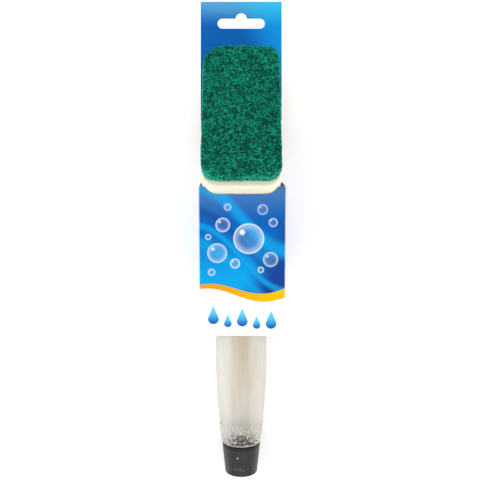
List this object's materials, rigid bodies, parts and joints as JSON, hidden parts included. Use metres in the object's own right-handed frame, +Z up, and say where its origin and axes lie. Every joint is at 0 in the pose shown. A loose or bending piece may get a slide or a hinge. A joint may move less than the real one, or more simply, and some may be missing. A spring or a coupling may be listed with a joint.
{
  "type": "dish wand",
  "caption": "Soap-filled dish wand with a bent sponge and scouring-pad head, a screw filler cap, and a card sleeve with a hanging header.",
  "frame": {"origin": "on the table, under the middle of the whole object's box", "axes": "+Y runs from the cap to the header card, +Z is up, the wand lying on its back"},
  "size_m": [0.0548, 0.3156, 0.0666],
  "materials": {
    "clear_plastic": "translucent squeezable plastic, satin, stippled near the cap",
    "cap_plastic": "black moulded plastic, fine matt grain with light scuffs",
    "base_plastic": "black moulded plastic, fine matt grain",
    "liner_foam": "closed-cell sealing foam",
    "ring_rubber": "smooth nitrile rubber",
    "valve_silicone": "translucent silicone",
    "drip_plastic": "natural moulded plastic",
    "sponge_foam": "open-cell cellulose sponge",
    "scour_fibre": "non-woven abrasive fibre web",
    "header_print": "coated card printed with a blue fade",
    "sleeve_print": null
  },
  "bodies": {
    "wand": {"handle_tube": "clear_plastic", "neck_ring": "ring_rubber"},
    "cap_seal": {"cap_liner": "liner_foam"},
    "cap": {"filler_cap": "cap_plastic"},
    "head": {"head_base": "base_plastic", "flow_valve": "valve_silicone", "drip_plate": "drip_plastic", "sponge": "sponge_foam", "scour_pad": "scour_fibre"},
    "card": {"backing_card": "header_print", "wrap_sleeve": "sleeve_print"}
  },
  "joints": [
    {"name": "cap_lift", "type": "slide", "parent": "wand", "child": "cap_seal", "axis": [0, -0.9903, -0.1386], "range_m": [0, 0.016]},
    {"name": "cap_turn", "type": "hinge", "parent": "cap_seal", "child": "cap", "pos_m": [0, -0.146, 0.01179], "axis": [0, -0.9903, -0.1386], "range_deg": [0, 1440]},
    {"name": "head_pull", "type": "slide", "parent": "wand", "child": "head", "axis": [0, 0.9903, 0.1386], "range_m": [0, 0.03]},
    {"name": "card_slide", "type": "slide", "parent": "wand", "child": "card", "axis": [0, -0.9903, -0.1386], "range_m": [0, 0.2]}
  ],
  "couplings": [
    {"joint": "cap_turn", "follows": "cap_lift", "rad_per_m": 1570.8}
  ]
}
